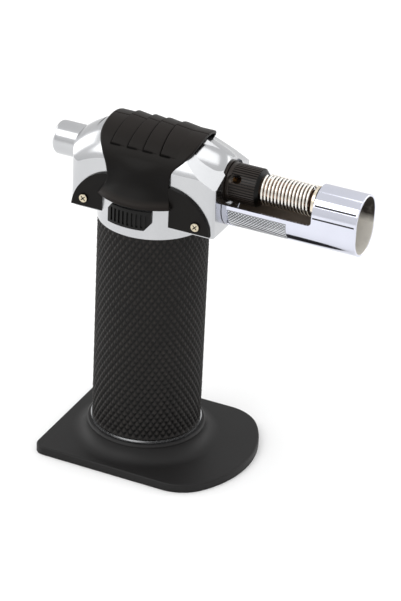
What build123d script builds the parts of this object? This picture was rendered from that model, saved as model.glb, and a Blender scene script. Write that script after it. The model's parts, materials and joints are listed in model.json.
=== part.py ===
from build123d import *
import os
from math import cos, radians, sin, sqrt

# Desk-top butane torch, millimetres. +Z up, +X the way the flame points.
# The origin is on the tank's axis, at the underside of the base.

os.makedirs("parts", exist_ok=True)

# --- driving dimensions ---------------------------------------------------
grip_r = 21.0            # outside of the knurled grip
grip_z0 = 10.6           # lower end of the grip
grip_z1 = 96.0           # upper end of the grip
sleeve_wall = 1.5
trim_ring_r = 21.35      # bright ring under the grip, a little proud of it
tank_r = 19.4
tank_wall = 1.4
tank_z0 = 3.8
tank_z1 = 99.0

plate_t = 3.2            # base plate
plate_half_w = 31.7
plate_rear_x = -32.5
plate_front_x = 44.0
plate_front_r = 42.0
collar_r = 22.9          # socket rim that holds the tank
collar_z = 9.3
dome_r = 28.8
socket_r = 19.8
socket_floor = 2.6

barrel_z = 117.4         # axis of burner, air collar and upper casing
casing_half_w = 15.2
casing_z0 = 100.3        # underside of the side cheeks
casing_top = 132.6
crown_r = 16.4
casing_rear_x = -26.4
casing_front_x = 31.0
band_r = 21.1            # round band of the casing, above the grip
band_z1 = 108.4
cover_out = 1.4          # saddle cover stands this far off the casing

button_z = 118.4
button_r = 6.5
button_rear_x = -40.2

air_collar_r = 7.2
air_collar_x0 = 31.0
air_collar_x1 = 43.6
burner_r = 4.1
burner_x1 = 65.2
coil_r = 5.9
coil_wire = 0.9
coil_turns = 14

guard_r = 9.4            # flame guard: two half rounds and a flat between
guard_upper_z = 115.0
guard_lower_z = 110.3
guard_wall = 0.9
trough_edge_z = 112.0    # upper edge of the open trough
guard_tip_x0 = 66.0
guard_tip_x1 = 83.2
guard_rear_x = 31.2
guard_rim_round = 0.3
knurl_x0 = 33.2          # knurled grip zone under the trough, cut a little below the skin
knurl_x1 = 56.5
knurl_top_z = 110.6
knurl_low = 0.35
line_heights = (119.9, 115.4)   # two lines along each side of the tip
line_wide = 0.6
line_deep = 0.3
line_x0 = 66.4
line_x1 = 82.4
tongue_z = 101.9         # tongue that the guard is screwed to the casing by
tongue_t = 1.4
tongue_screw_x = 28.0

electrode_y = 5.5        # spark electrode, beside the burner
electrode_z = 108.4

fit = 0.08               # running fit, radial
cutter = 80.0            # length of a cut that goes right through

barrel_axis = Axis((0, 0, barrel_z), (1, 0, 0))


def across_x(x, z=barrel_z, y=0.0):
    """Sketch plane square to the barrel: local x is world Y, local y is world Z."""
    return Plane(origin=(x, y, z), x_dir=(0, 1, 0), z_dir=(1, 0, 0))


def side_plane(y):
    """Sketch plane facing the near side: local x is world X, local y is world Z."""
    return Plane(origin=(0, y, 0), x_dir=(1, 0, 0), z_dir=(0, -1, 0))


def save(part, label):
    part.label = label
    export_step(part, f"parts/{label}.step")


def rod_x(x0, x1, r, z=barrel_z, y=0.0, bore=0.0):
    """Rod or tube along X."""
    with BuildPart() as rod:
        with BuildSketch(across_x(x0, z, y)):
            Circle(r)
            if bore:
                Circle(bore, mode=Mode.SUBTRACT)
        extrude(amount=x1 - x0)
    return rod.part


def rod_z(z0, z1, r, x=0.0, y=0.0, bore=0.0):
    """Rod or tube along Z."""
    with BuildPart() as rod:
        with BuildSketch(Plane(origin=(x, y, z0))):
            Circle(r)
            if bore:
                Circle(bore, mode=Mode.SUBTRACT)
        extrude(amount=z1 - z0)
    return rod.part


def coil(start, direction, mean_r, wire_r, pitch, length):
    """Wound spring: a round wire swept along a helix from the start point."""
    with BuildPart() as spring:
        with BuildLine():
            path = Helix(pitch=pitch, height=length, radius=mean_r, center=start, direction=direction)
        with BuildSketch(Plane(origin=path @ 0, z_dir=path % 0)):
            Circle(wire_r)
        sweep(path=path, is_frenet=True)
    return spring.part


# --- base -----------------------------------------------------------------
with BuildPart() as base_plate:
    corner_x = 2.0 + sqrt(plate_front_r**2 - plate_half_w**2)
    with BuildSketch() as plate_outline:
        with BuildLine():
            Polyline(
                (corner_x, plate_half_w),
                (plate_rear_x, plate_half_w),
                (plate_rear_x, -plate_half_w),
                (corner_x, -plate_half_w),
            )
            ThreePointArc((corner_x, -plate_half_w), (plate_front_x, 0), (corner_x, plate_half_w))
        make_face()
        fillet(plate_outline.vertices().group_by(Axis.X)[0], 4.5)
        fillet(plate_outline.vertices().group_by(Axis.X)[-1], 17)
    extrude(amount=plate_t)
    fillet(base_plate.faces().sort_by(Axis.Z)[-1].edges(), 0.7)
    # raised socket with a flared foot
    with BuildSketch(Plane.XZ):
        with BuildLine():
            Polyline((dome_r, plate_t), (dome_r, 1.0), (5, 1.0), (5, collar_z), (collar_r - 0.6, collar_z))
            Line((collar_r - 0.6, collar_z), (collar_r, collar_z - 0.6))
            Line((collar_r, collar_z - 0.6), (collar_r, collar_z - 1.2))
            ThreePointArc((collar_r, collar_z - 1.2), (24.6, 4.9), (dome_r, plate_t))
        make_face()
    revolve(axis=Axis.Z)
    with BuildSketch(Plane.XY.offset(socket_floor)):
        Circle(socket_r)
    extrude(amount=cutter, mode=Mode.SUBTRACT)
    # seat for the grip ring inside the socket
    with BuildSketch(Plane.XY.offset(6.0)):
        Circle(socket_r + 1.2)
    extrude(amount=1.8, mode=Mode.SUBTRACT)
save(base_plate.part, "base_plate")

with BuildPart() as base_grip_ring:
    with BuildSketch(Plane.XZ):
        with Locations((tank_r + 0.75, 6.9)):
            Circle(0.7)
    revolve(axis=Axis.Z)
save(base_grip_ring.part, "base_grip_ring")

# --- handle: tank, valve at its foot, grip --------------------------------
valve_bore = 3.2
top_bore = 3.0
with BuildPart() as fuel_tank:
    with BuildSketch(Plane.XY.offset(tank_z0)):
        Circle(tank_r)
    extrude(amount=tank_z1 - tank_z0)
    fillet(fuel_tank.faces().sort_by(Axis.Z)[0].edges(), 0.8)
    with BuildSketch(Plane.XY.offset(tank_z0 + 3.0)):
        Circle(tank_r - tank_wall)
    extrude(amount=tank_z1 - tank_z0 - 6.0, mode=Mode.SUBTRACT)
    with BuildSketch(Plane.XY.offset(tank_z0 - 1)):
        Circle(valve_bore)
    extrude(amount=8, mode=Mode.SUBTRACT)
    with BuildSketch(Plane.XY.offset(tank_z1 - 6)):
        Circle(top_bore)
    extrude(amount=8, mode=Mode.SUBTRACT)
    # groove for the seal under the casing
    with BuildSketch(Plane.XY.offset(96.9)):
        Circle(tank_r + 1)
        Circle(tank_r - 0.9, mode=Mode.SUBTRACT)
    extrude(amount=1.2, mode=Mode.SUBTRACT)
save(fuel_tank.part, "fuel_tank")

with BuildPart() as tank_seal:
    with BuildSketch(Plane.XZ):
        with Locations((tank_r - 0.42, 97.5)):
            Circle(0.45)
    revolve(axis=Axis.Z)
save(tank_seal.part, "tank_seal")

save(rod_z(grip_z0, grip_z1, grip_r, bore=grip_r - sleeve_wall), "grip_sleeve")
save(rod_z(collar_z + 0.2, grip_z0, trim_ring_r, bore=grip_r - sleeve_wall), "grip_trim_ring")

# refill valve: body screwed into the tank's foot, stem pushed up by the gas can
stem_r = 1.0
with BuildPart() as refill_valve_body:
    with BuildSketch(Plane.XY.offset(tank_z0 + 0.2)):
        Circle(valve_bore - 0.05)
    extrude(amount=8.0)
    with BuildSketch(Plane.XY.offset(tank_z0)):
        Circle(stem_r + 0.4)
    extrude(amount=9.0, mode=Mode.SUBTRACT)
    with BuildSketch(Plane.XY.offset(tank_z0 + 3.4)):
        Circle(2.2)
    extrude(amount=4.0, mode=Mode.SUBTRACT)
save(refill_valve_body.part, "refill_valve_body")

with BuildPart() as refill_valve_stem:
    with BuildSketch(Plane.XY.offset(tank_z0 - 0.6)):
        Circle(stem_r)
    extrude(amount=7.0)
    with BuildSketch(Plane.XY.offset(tank_z0 + 4.3)):
        Circle(1.9)
    extrude(amount=0.6)
save(refill_valve_stem.part, "refill_valve_stem")
save(rod_z(tank_z0 + 3.45, tank_z0 + 4.2, 2.1, bore=1.2), "refill_valve_seal")
save(coil((0, 0, tank_z0 + 5.1), (0, 0, 1), 1.6, 0.18, 0.62, 1.9), "refill_valve_spring")

# gas pick-up tube hanging inside the tank
save(rod_z(22, 95.2, 1.6, bore=0.9), "gas_pickup_tube")

# --- casing ---------------------------------------------------------------


def crown_section(x, top):
    """Cross-section of the crown: a round top over straight sides."""
    with BuildSketch(across_x(x, 0)) as section:
        with BuildLine():
            ThreePointArc((-crown_r, top - crown_r), (0, top), (crown_r, top - crown_r))
            Polyline((crown_r, top - crown_r), (crown_r, 90), (-crown_r, 90), (-crown_r, top - crown_r))
        make_face()
    return section.sketch


# the crown's height along the casing, rear to front
crown_line = [(-31, 122.6), (-28.5, 125.5), (-25, 128.0), (-20.5, 130.3), (-15, 132.0), (-8, casing_top)]

with BuildPart() as crown:
    loft([crown_section(x, top) for x, top in crown_line])
    extrude(crown_section(-8, casing_top), amount=cutter)

with BuildPart() as casing_body:
    with BuildSketch(Plane.XY.offset(casing_z0)) as casing_plan:
        with BuildLine():
            Polyline(
                (casing_rear_x, -casing_half_w),
                (casing_front_x, -casing_half_w),
                (casing_front_x, casing_half_w),
                (casing_rear_x, casing_half_w),
            )
            ThreePointArc(
                (casing_rear_x, casing_half_w), (casing_rear_x - 3.8, 0), (casing_rear_x, -casing_half_w)
            )
        make_face()
        fillet(casing_plan.vertices().group_by(Axis.X)[0], 4.5)
        fillet(casing_plan.vertices().group_by(Axis.X)[-1], 1.2)
    extrude(amount=40)
    add(crown.part, mode=Mode.INTERSECT)
    # sloping ledge on each cheek, beside the nose
    for side in (-1, 1):
        ledge = Plane(origin=(20, side * 15.2, 124.6), z_dir=(44.3, side * 40.4, 90.2))
        with BuildSketch(ledge):
            Rectangle(70, 70)
        extrude(amount=30, mode=Mode.SUBTRACT)
    # round nose that the air collar comes out of
    with BuildSketch(Plane(origin=(0, 0, barrel_z), x_dir=(1, 0, 0), z_dir=(0, -1, 0))):
        with BuildLine():
            nose = Spline((6, 15.0), (14, 14.5), (20, 13.2), (25, 11.5), (28.5, 9.9), (30, 8.7))
            Polyline(nose @ 1, (30, 0), (6, 0), nose @ 0)
        make_face()
    revolve(axis=barrel_axis)
    # the collar's recess between the cheeks
    with BuildSketch(across_x(30.0)):
        Circle(9.0)
    extrude(amount=5, mode=Mode.SUBTRACT)
    # round band over the top of the tank
    with BuildSketch(Plane.XY.offset(96.2)):
        Circle(band_r)
    extrude(amount=band_z1 - 96.2)

casing_outside = casing_body.part

with BuildPart() as head_casing:
    add(casing_outside)
    # chamber for the works
    with BuildSketch(Plane.XY.offset(99.6)):
        with Locations((0.5, 0)):
            RectangleRounded(45, 25, 3)
    extrude(amount=barrel_z - 99.6, mode=Mode.SUBTRACT)
    with BuildSketch(across_x(-22)):
        Circle(12.5)
    extrude(amount=36, mode=Mode.SUBTRACT)
    # neck for the tank
    with BuildSketch(Plane.XY.offset(96)):
        Circle(tank_r + 0.05)
    extrude(amount=3.7, mode=Mode.SUBTRACT)
    # bores for the button and the burner
    with BuildSketch(across_x(-35, button_z)):
        Circle(button_r + fit)
    extrude(amount=15, mode=Mode.SUBTRACT)
    with BuildSketch(across_x(10)):
        Circle(6.0)
    extrude(amount=cutter, mode=Mode.SUBTRACT)
    # slot behind the lock slider
    with BuildSketch(side_plane(-10)):
        with Locations((1.5, 103.6)):
            Rectangle(11, 2.4)
    extrude(amount=16, mode=Mode.SUBTRACT)
    # hole for the spark electrode
    with BuildSketch(across_x(18, electrode_z, electrode_y)):
        Circle(1.2)
    extrude(amount=20, mode=Mode.SUBTRACT)
    # pocket for the flame guard's tongue, and its screw from below
    with BuildSketch(Plane.XY.offset(tongue_z - 0.05)):
        with Locations((29.0, 0)):
            Rectangle(8.2, 9.2)
    extrude(amount=tongue_t + 0.1, mode=Mode.SUBTRACT)
    with BuildSketch(Plane(origin=(tongue_screw_x, 0, casing_z0 - 1))):
        Circle(2.0)
    extrude(amount=2.15, mode=Mode.SUBTRACT)
    with BuildSketch(Plane(origin=(tongue_screw_x, 0, casing_z0 - 1))):
        Circle(1.0)
    extrude(amount=7, mode=Mode.SUBTRACT)
    # pilot holes for the plate screws
    with BuildSketch(side_plane(0)):
        with Locations((-21.0, 104.6), (24.3, 104.2)):
            Circle(0.85)
    extrude(amount=40, both=True, mode=Mode.SUBTRACT)
save(head_casing.part, "head_casing")

# --- side plates: two black wings a side, joined under the saddle ----------
plate_out = 1.1
wing_z0 = 101.2


def side_wings(side):
    """Flat plate on one cheek, wing tips fore and aft, notched for the round band."""
    with BuildPart() as plate:
        with BuildSketch(side_plane(side * casing_half_w)):
            with BuildLine():
                Line((-26.2, wing_z0), (30.0, wing_z0))
                ThreePointArc((30.0, wing_z0), (25.3, 110.9), (13.2, 116.9))
                Line((13.2, 116.9), (-13.5, 116.4))
                ThreePointArc((-13.5, 116.4), (-22.4, 110.4), (-26.2, wing_z0))
            make_face()
        extrude(amount=-side * plate_out)
        add(band_core, mode=Mode.SUBTRACT)
        with BuildSketch(side_plane(0)):
            with Locations((-21.0, 104.6), (24.3, 104.2)):
                Circle(1.1)
        extrude(amount=40, both=True, mode=Mode.SUBTRACT)
    return plate.part


band_core = rod_z(90, band_z1, band_r)
plate_near = side_wings(-1)
plate_far = side_wings(1)
save(plate_near, "side_plate_near")
save(plate_far, "side_plate_far")

# --- saddle cover: two mouldings that meet along the top -------------------
saddle_top_r = crown_r
lip_r = 23.0
lip_z = 108.4


def saddle_shell(side):
    """One half of the saddle, cut from the body that its outside describes."""
    with BuildPart() as shell:
        with BuildSketch(across_x(-24, 0)):
            with BuildLine():
                ThreePointArc((-saddle_top_r, barrel_z + 0.2), (0, casing_top + cover_out),
                              (saddle_top_r, barrel_z + 0.2))
                Polyline((saddle_top_r, barrel_z + 0.2), (saddle_top_r, lip_z), (-saddle_top_r, lip_z),
                         (-saddle_top_r, barrel_z + 0.2))
            make_face()
        extrude(amount=50)
        # skirt of the saddle flares out to the band
        with BuildSketch(Plane.XZ):
            with BuildLine():
                Polyline((0, lip_z), (lip_r - 0.5, lip_z))
                ThreePointArc((lip_r - 0.5, lip_z), (lip_r, lip_z + 0.5), (lip_r - 0.3, lip_z + 1.6))
                ThreePointArc((lip_r - 0.3, lip_z + 1.6), (19.6, lip_z + 5.4), (17.2, lip_z + 12))
                Line((17.2, lip_z + 12), (0, lip_z + 12))
                Line((0, lip_z + 12), (0, lip_z))
            make_face()
        revolve(axis=Axis.Z)
        # outline of the saddle seen from the side
        with BuildSketch(side_plane(0)) as outline:
            with BuildLine():
                front = Spline((14.9, lip_z), (13.4, 113), (13.0, 118), (14.0, 123.5), (17.0, 127.0),
                               (19.2, 130.2), (21.0, 135))
                rear = Spline((-18.4, 135), (-18.0, 130), (-15.4, 125), (-12.9, 120), (-12.4, 115),
                              (-13.7, 111.5), (-15.6, lip_z))
                Line(front @ 1, rear @ 0)
                Line(rear @ 1, front @ 0)
            make_face()
        extrude(amount=40, both=True, mode=Mode.INTERSECT)
        with BuildSketch(Plane.XY.offset(100)):
            with Locations((0, side * 30.05)):
                Rectangle(80, 60)
        extrude(amount=50, mode=Mode.INTERSECT)
        add(casing_outside, mode=Mode.SUBTRACT)
        add(plate_near if side < 0 else plate_far, mode=Mode.SUBTRACT)
        # shallow thumb scales, each one standing a little proud
        for x in (-10.2, -3.8, 2.4, 8.8):
            with BuildSketch(across_x(x)):
                with BuildLine():
                    inner = saddle_top_r - 0.3
                    outer = saddle_top_r + 0.75
                    a0 = radians(48)
                    a1 = radians(84)
                    CenterArc((0, 0), inner, 48, 36)
                    CenterArc((0, 0), outer, 48, 36)
                    Line((inner * cos(a0), inner * sin(a0)), (outer * cos(a0), outer * sin(a0)))
                    Line((inner * cos(a1), inner * sin(a1)), (outer * cos(a1), outer * sin(a1)))
                make_face()
                if side < 0:
                    mirror(about=Plane.YZ, mode=Mode.REPLACE)
            extrude(amount=5.4)
    return shell.part


save(saddle_shell(-1), "saddle_cover_near")
save(saddle_shell(1), "saddle_cover_far")

# --- screws of the side plates ---------------------------------------------
with BuildPart() as plate_screws:
    for side in (-1, 1):
        for x, z in ((-21.0, 104.6), (24.3, 104.2)):
            seat = Plane(origin=(x, side * (casing_half_w + plate_out + 0.02), z), x_dir=(1, 0, 0),
                         z_dir=(0, side, 0))
            with BuildSketch(seat):
                Circle(1.85)
            extrude(amount=0.75, taper=22)
            with BuildSketch(seat):
                Circle(0.8)
            extrude(amount=-3.4)
            with BuildSketch(seat.offset(0.75)):
                Rectangle(2.2, 0.4, rotation=45)
                Rectangle(2.2, 0.4, rotation=-45)
            extrude(amount=-0.45, mode=Mode.SUBTRACT)
save(plate_screws.part, "plate_screws")

# --- lock slider, runs a few degrees round the band ------------------------
slider_r0 = band_r + 0.1
slider_r1 = band_r + 1.3
rib_pitch = 4.6          # degrees
rib_z0 = 101.2
rib_z1 = 106.6
with BuildPart() as lock_slider:
    with BuildSketch(side_plane(-10)):
        with BuildLine():
            Polyline((-8.9, 105.6), (-7.3, 107.8), (8.6, 107.8), (8.6, 103.2), (6.2, 100.2), (-8.9, 100.2),
                     close=True)
        make_face()
    extrude(amount=20)
    with BuildSketch(Plane.XY.offset(95)):
        Circle(slider_r1)
        Circle(slider_r0, mode=Mode.SUBTRACT)
    extrude(amount=20, mode=Mode.INTERSECT)
    # grooves between the finger ribs, short of the upper and lower edges
    for i in range(-4, 5):
        groove = Plane.XY.offset(rib_z0).rotated((0, 0, i * rib_pitch - 90))
        with BuildSketch(groove):
            with Locations((slider_r1, 0)):
                Rectangle(1.1, 0.85)
        extrude(amount=rib_z1 - rib_z0, mode=Mode.SUBTRACT)
    # neck that passes through the casing's slot
    with BuildSketch(side_plane(-16.2)):
        with Locations((0, 103.6)):
            Rectangle(4, 1.6)
    extrude(amount=5.4)
save(lock_slider.part, "lock_slider")

# --- ignition button and igniter -------------------------------------------
button_end_x = -20.6
plunger_x1 = -13.6
igniter_x0 = -14.0
igniter_x1 = 3.0
with BuildPart() as ignition_button:
    with BuildSketch(across_x(button_rear_x, button_z)):
        Circle(button_r)
    extrude(amount=button_end_x - button_rear_x)
    fillet(ignition_button.faces().sort_by(Axis.X)[0].edges(), 1.8)
    with BuildSketch(across_x(button_rear_x + 2.2, button_z)):
        Circle(button_r - 1.1)
    extrude(amount=40, mode=Mode.SUBTRACT)
    # collar that stops the button in its bore
    with BuildSketch(across_x(button_end_x, button_z)):
        Circle(button_r + 1.2)
        Circle(button_r - 1.1, mode=Mode.SUBTRACT)
    extrude(amount=-1.3)
save(ignition_button.part, "ignition_button")
save(rod_x(button_rear_x + 2.2, plunger_x1, 2.6, z=button_z), "igniter_plunger")
save(coil((-37.2, 0, button_z), (1, 0, 0), 4.2, 0.4, 1.7, 13.5), "button_spring")

with BuildPart() as piezo_igniter:
    with BuildSketch(across_x(igniter_x0, button_z)):
        RectangleRounded(9.0, 9.0, 1.2)
    extrude(amount=igniter_x1 - igniter_x0)
    with BuildSketch(across_x(igniter_x0 - 1, button_z)):
        Circle(2.6 + fit)
    extrude(amount=9.5, mode=Mode.SUBTRACT)
save(piezo_igniter.part, "piezo_igniter")

# bracket that carries the igniter inside the casing
with BuildPart() as igniter_bracket:
    with BuildSketch(across_x(-9, 0)):
        with BuildLine():
            Polyline((-11.5, 110.8), (11.5, 110.8), (11.5, 113.85), (-11.5, 113.85), close=True)
        make_face()
    extrude(amount=10)
save(igniter_bracket.part, "igniter_bracket")

# --- gas valve, lever and jet ----------------------------------------------
with BuildPart() as gas_valve_body:
    with BuildSketch(Plane.XY.offset(99.7)):
        RectangleRounded(13, 13, 1.5)
    extrude(amount=6.2)
    with BuildSketch(Plane.XY.offset(95.2)):
        Circle(top_bore - 0.05)
    extrude(amount=4.5)
    with BuildSketch(Plane.XY.offset(95)):
        Circle(0.9)
    extrude(amount=12, mode=Mode.SUBTRACT)
    # hose spigot towards the burner
    with BuildSketch(across_x(6.5, 103.2)):
        Circle(1.5)
    extrude(amount=3)
save(gas_valve_body.part, "gas_valve_body")
save(rod_z(104, 107.9, 0.75), "gas_valve_pin")

lever_pivot_x = -8.5
lever_pivot_z = 107.9
with BuildPart() as valve_lever:
    with BuildSketch(side_plane(-2.0)):
        with BuildLine():
            Polyline((-10.4, 106.6), (2.2, 108.5), (2.2, 109.3), (-10.4, 109.1), close=True)
        make_face()
    extrude(amount=-4.0)
    with BuildSketch(side_plane(0)):
        with Locations((lever_pivot_x, lever_pivot_z)):
            Circle(0.6)
    extrude(amount=10, both=True, mode=Mode.SUBTRACT)
save(valve_lever.part, "valve_lever")
with BuildPart() as lever_pin:
    with BuildSketch(side_plane(0)):
        with Locations((lever_pivot_x, lever_pivot_z)):
            Circle(0.55)
    extrude(amount=12.4, both=True)
save(lever_pin.part, "lever_pin")

# hose from the valve to the jet, three straight runs and two bends
hose_r = 1.4
with BuildPart() as gas_hose:
    with BuildLine():
        hose_path = FilletPolyline(
            (9.6, 0, 103.2), (15.5, 0, 103.2), (15.5, 0, barrel_z), (22.4, 0, barrel_z), radius=4.0
        )
    with BuildSketch(Plane(origin=hose_path @ 0, z_dir=hose_path % 0)):
        Circle(hose_r)
        Circle(0.7, mode=Mode.SUBTRACT)
    sweep(path=hose_path)
save(gas_hose.part, "gas_hose")

with BuildPart() as gas_jet:
    with BuildSketch(across_x(22.5)):
        RegularPolygon(3.2, 6)
    extrude(amount=3.0)
    with BuildSketch(across_x(25.5)):
        Circle(1.9)
    extrude(amount=3.4)
    with BuildSketch(across_x(20)):
        Circle(0.5)
    extrude(amount=12, mode=Mode.SUBTRACT)
save(gas_jet.part, "gas_jet")

# --- burner ----------------------------------------------------------------
air_hole_x = 34.2
air_hole_angles = (35, 155, 275)   # degrees round the barrel, from the near side up


def radial_slot(angle, x, length, width):
    """Cutter for a rounded slot through a wall of the barrel, at an angle round it."""
    direction = (0, -cos(radians(angle)), sin(radians(angle)))
    with BuildPart() as slot:
        with BuildSketch(Plane(origin=(x, 0, barrel_z), x_dir=(1, 0, 0), z_dir=direction)):
            SlotOverall(length, width)
        extrude(amount=12)
    return slot.part


with BuildPart() as burner_tube:
    add(rod_x(24.2, burner_x1, burner_r, bore=burner_r - 0.7))
    # shoulder that sits in the nose
    add(rod_x(24.2, 29.6, 5.95, bore=burner_r - 0.7))
    for angle in air_hole_angles:
        add(radial_slot(angle, air_hole_x, 4.2, 2.4), mode=Mode.SUBTRACT)
save(burner_tube.part, "burner_tube")

with BuildPart() as flame_holder:
    add(rod_x(58.5, burner_x1 - 0.6, burner_r - 0.75))
    with BuildSketch(across_x(58)):
        with PolarLocations(2.1, 8):
            Circle(0.45)
    extrude(amount=10, mode=Mode.SUBTRACT)
    with BuildSketch(across_x(58)):
        Circle(0.7)
    extrude(amount=10, mode=Mode.SUBTRACT)
save(flame_holder.part, "flame_holder")

save(rod_x(30.02, 30.7, 7.8, bore=burner_r + 0.05), "burner_flange")

with BuildPart() as air_collar:
    add(rod_x(air_collar_x0, air_collar_x1, air_collar_r, bore=burner_r + fit))
    chamfer(air_collar.edges().filter_by(GeomType.CIRCLE).group_by(Axis.X)[-1].sort_by(SortBy.RADIUS)[-1], 1.3)
    for angle in air_hole_angles:
        add(radial_slot(angle, air_hole_x, 5.2, 3.4), mode=Mode.SUBTRACT)
    # fine grip grooves along the collar
    groove_count = 44
    with BuildSketch(across_x(air_collar_x0 + 1.4)):
        with PolarLocations(air_collar_r, groove_count):
            Rectangle(0.5, 0.45)
    extrude(amount=20, mode=Mode.SUBTRACT)
save(air_collar.part, "air_collar")

coil_pitch = (63.4 - 44.4) / coil_turns
save(
    coil((44.4, 0, barrel_z), (1, 0, 0), coil_r - coil_wire / 2, coil_wire / 2, coil_pitch,
         coil_pitch * coil_turns),
    "burner_spring",
)
save(rod_x(64.0, 65.0, coil_r, bore=burner_r + 0.05), "spring_washer")

# --- flame guard: open trough behind, closed ring at the tip ---------------


def guard_body(grow):
    """Upright obround bar as long as the guard."""
    r = guard_r + grow
    with BuildPart() as bar:
        with BuildSketch(across_x(guard_rear_x, 0)):
            with BuildLine():
                Line((-r, guard_lower_z), (-r, guard_upper_z))
                ThreePointArc((-r, guard_upper_z), (0, guard_upper_z + r), (r, guard_upper_z))
                Line((r, guard_upper_z), (r, guard_lower_z))
                ThreePointArc((r, guard_lower_z), (0, guard_lower_z - r), (-r, guard_lower_z))
            make_face()
        extrude(amount=guard_tip_x1 - guard_rear_x)
    return bar.part


def guard_skin(deep, x0, x1, z0, z1):
    """Outermost layer of the guard between two heights, for cutting relief into it."""
    with BuildPart() as skin:
        add(guard_body(1))
        add(guard_body(-deep), mode=Mode.SUBTRACT)
        with BuildSketch(side_plane(0)):
            with Locations(((x0 + x1) / 2, (z0 + z1) / 2)):
                Rectangle(x1 - x0, z1 - z0)
        extrude(amount=30, both=True, mode=Mode.INTERSECT)
    return skin.part


with BuildPart() as nozzle_guard:
    add(guard_body(0))
    add(guard_body(-guard_wall), mode=Mode.SUBTRACT)
    # the trough behind the tip is open at the top
    with BuildSketch(side_plane(0)) as trough_cut:
        with BuildLine():
            Polyline((20, trough_edge_z), (guard_tip_x0, trough_edge_z), (guard_tip_x0, 140), (20, 140), close=True)
        make_face()
        fillet(trough_cut.vertices().group_by(Axis.X)[-1].group_by(Axis.Y)[0], 1.6)
    extrude(amount=30, both=True, mode=Mode.SUBTRACT)
    mouth = nozzle_guard.faces().sort_by(Axis.X)[-1]
    fillet(mouth.edges(), guard_rim_round)
    add(guard_skin(knurl_low, knurl_x0, knurl_x1, 90, knurl_top_z), mode=Mode.SUBTRACT)
    for z in line_heights:
        add(guard_skin(line_deep, line_x0, line_x1, z - line_wide / 2, z + line_wide / 2), mode=Mode.SUBTRACT)
    # tongue that the guard is screwed to the casing by
    with BuildSketch(Plane.XY.offset(tongue_z)):
        with Locations((30.1, 0)):
            Rectangle(10, 9)
    extrude(amount=tongue_t)
    with BuildSketch(Plane(origin=(tongue_screw_x, 0, 90))):
        Circle(1.1)
    extrude(amount=20, mode=Mode.SUBTRACT)
save(nozzle_guard.part, "nozzle_guard")

with BuildPart() as guard_screw:
    with BuildSketch(Plane(origin=(tongue_screw_x, 0, casing_z0 + 0.1))):
        Circle(1.9)
    extrude(amount=1.0)
    with BuildSketch(Plane(origin=(tongue_screw_x, 0, casing_z0 + 1.1))):
        Circle(0.95)
    extrude(amount=4.6)
    with BuildSketch(Plane(origin=(tongue_screw_x, 0, casing_z0 + 0.1))):
        Rectangle(2.4, 0.45)
        Rectangle(0.45, 2.4)
    extrude(amount=0.6, mode=Mode.SUBTRACT)
save(guard_screw.part, "guard_screw")

# --- spark electrode and the lead from the igniter -------------------------
insulator_x0 = 16.0
insulator_x1 = 30.9
save(rod_x(insulator_x0, insulator_x1, 1.1, z=electrode_z, y=electrode_y), "electrode_insulator")


def wire(points, radii, wire_r):
    """Round wire along straight runs joined by tangent arcs."""
    with BuildPart() as lead:
        with BuildLine():
            route = FilletPolyline(*points, radius=radii)
        with BuildSketch(Plane(origin=route @ 0, z_dir=route % 0)):
            Circle(wire_r)
        sweep(path=route)
    return lead.part


electrode_route = [
    (insulator_x1, electrode_y, electrode_z),
    (59.5, electrode_y, electrode_z),
    (67.0, 3.2, 110.8),
]
save(wire(electrode_route, 6.0, 0.35), "electrode_wire")

lead_route = [
    (igniter_x1, 3.0, 116.2),
    (8.5, 3.0, 116.2),
    (9.5, electrode_y, electrode_z),
    (insulator_x0, electrode_y, electrode_z),
]
save(wire(lead_route, [2.8, 3.2], 0.45), "ignition_lead")
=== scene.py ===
import json
import math

import bpy
import numpy as np
from mathutils import Matrix, Vector


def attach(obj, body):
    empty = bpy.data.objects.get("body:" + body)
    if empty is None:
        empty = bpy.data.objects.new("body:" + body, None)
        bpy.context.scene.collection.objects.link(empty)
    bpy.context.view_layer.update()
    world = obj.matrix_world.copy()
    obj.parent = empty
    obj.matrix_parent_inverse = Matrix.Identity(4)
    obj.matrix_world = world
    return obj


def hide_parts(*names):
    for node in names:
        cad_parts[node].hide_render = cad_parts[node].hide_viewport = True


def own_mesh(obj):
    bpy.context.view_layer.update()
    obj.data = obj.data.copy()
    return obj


# Butane torch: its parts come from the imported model, the finishes, knurls and saddle cover are made here.
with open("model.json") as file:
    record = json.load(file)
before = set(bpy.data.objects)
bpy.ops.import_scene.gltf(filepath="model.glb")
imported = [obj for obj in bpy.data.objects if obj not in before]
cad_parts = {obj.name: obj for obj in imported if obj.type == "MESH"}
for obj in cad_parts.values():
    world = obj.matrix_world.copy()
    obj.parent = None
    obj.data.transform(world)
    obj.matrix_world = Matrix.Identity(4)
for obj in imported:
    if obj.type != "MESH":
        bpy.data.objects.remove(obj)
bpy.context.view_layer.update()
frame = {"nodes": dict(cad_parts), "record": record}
nodes = frame["nodes"]
mm = 0.001  # metres
barrelHeight = 117.4  # mm, the burner's axis above the floor
print("frame loaded,", len(nodes), "parts")


def hexToLinear(text):
    shares = [int(text[i:i + 2], 16) / 255 for i in (0, 2, 4)]
    return [s / 12.92 if s <= 0.04045 else ((s + 0.055) / 1.055) ** 2.4 for s in shares] + [1.0]


def addNode(tree, kind, settings=None, links=None):
    node = tree.nodes.new("ShaderNode" + kind)
    for name, value in (settings or {}).items():
        if isinstance(name, int) or name in node.inputs:
            node.inputs[name].default_value = value
        else:
            setattr(node, name, value)
    for name, source in (links or {}).items():
        tree.links.new(source, node.inputs[name])
    return node


def startFinish(name, shader):
    # an empty material with its shader, and the place on the part in metres
    finish = bpy.data.materials.new(name)
    finish.use_nodes = True
    tree = finish.node_tree
    tree.nodes.clear()
    surface = addNode(tree, "BsdfPrincipled", shader)
    addNode(tree, "OutputMaterial", links={"Surface": surface.outputs[0]})
    place = addNode(tree, "TexCoord").outputs["Object"]
    return finish, tree, surface, place


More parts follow.
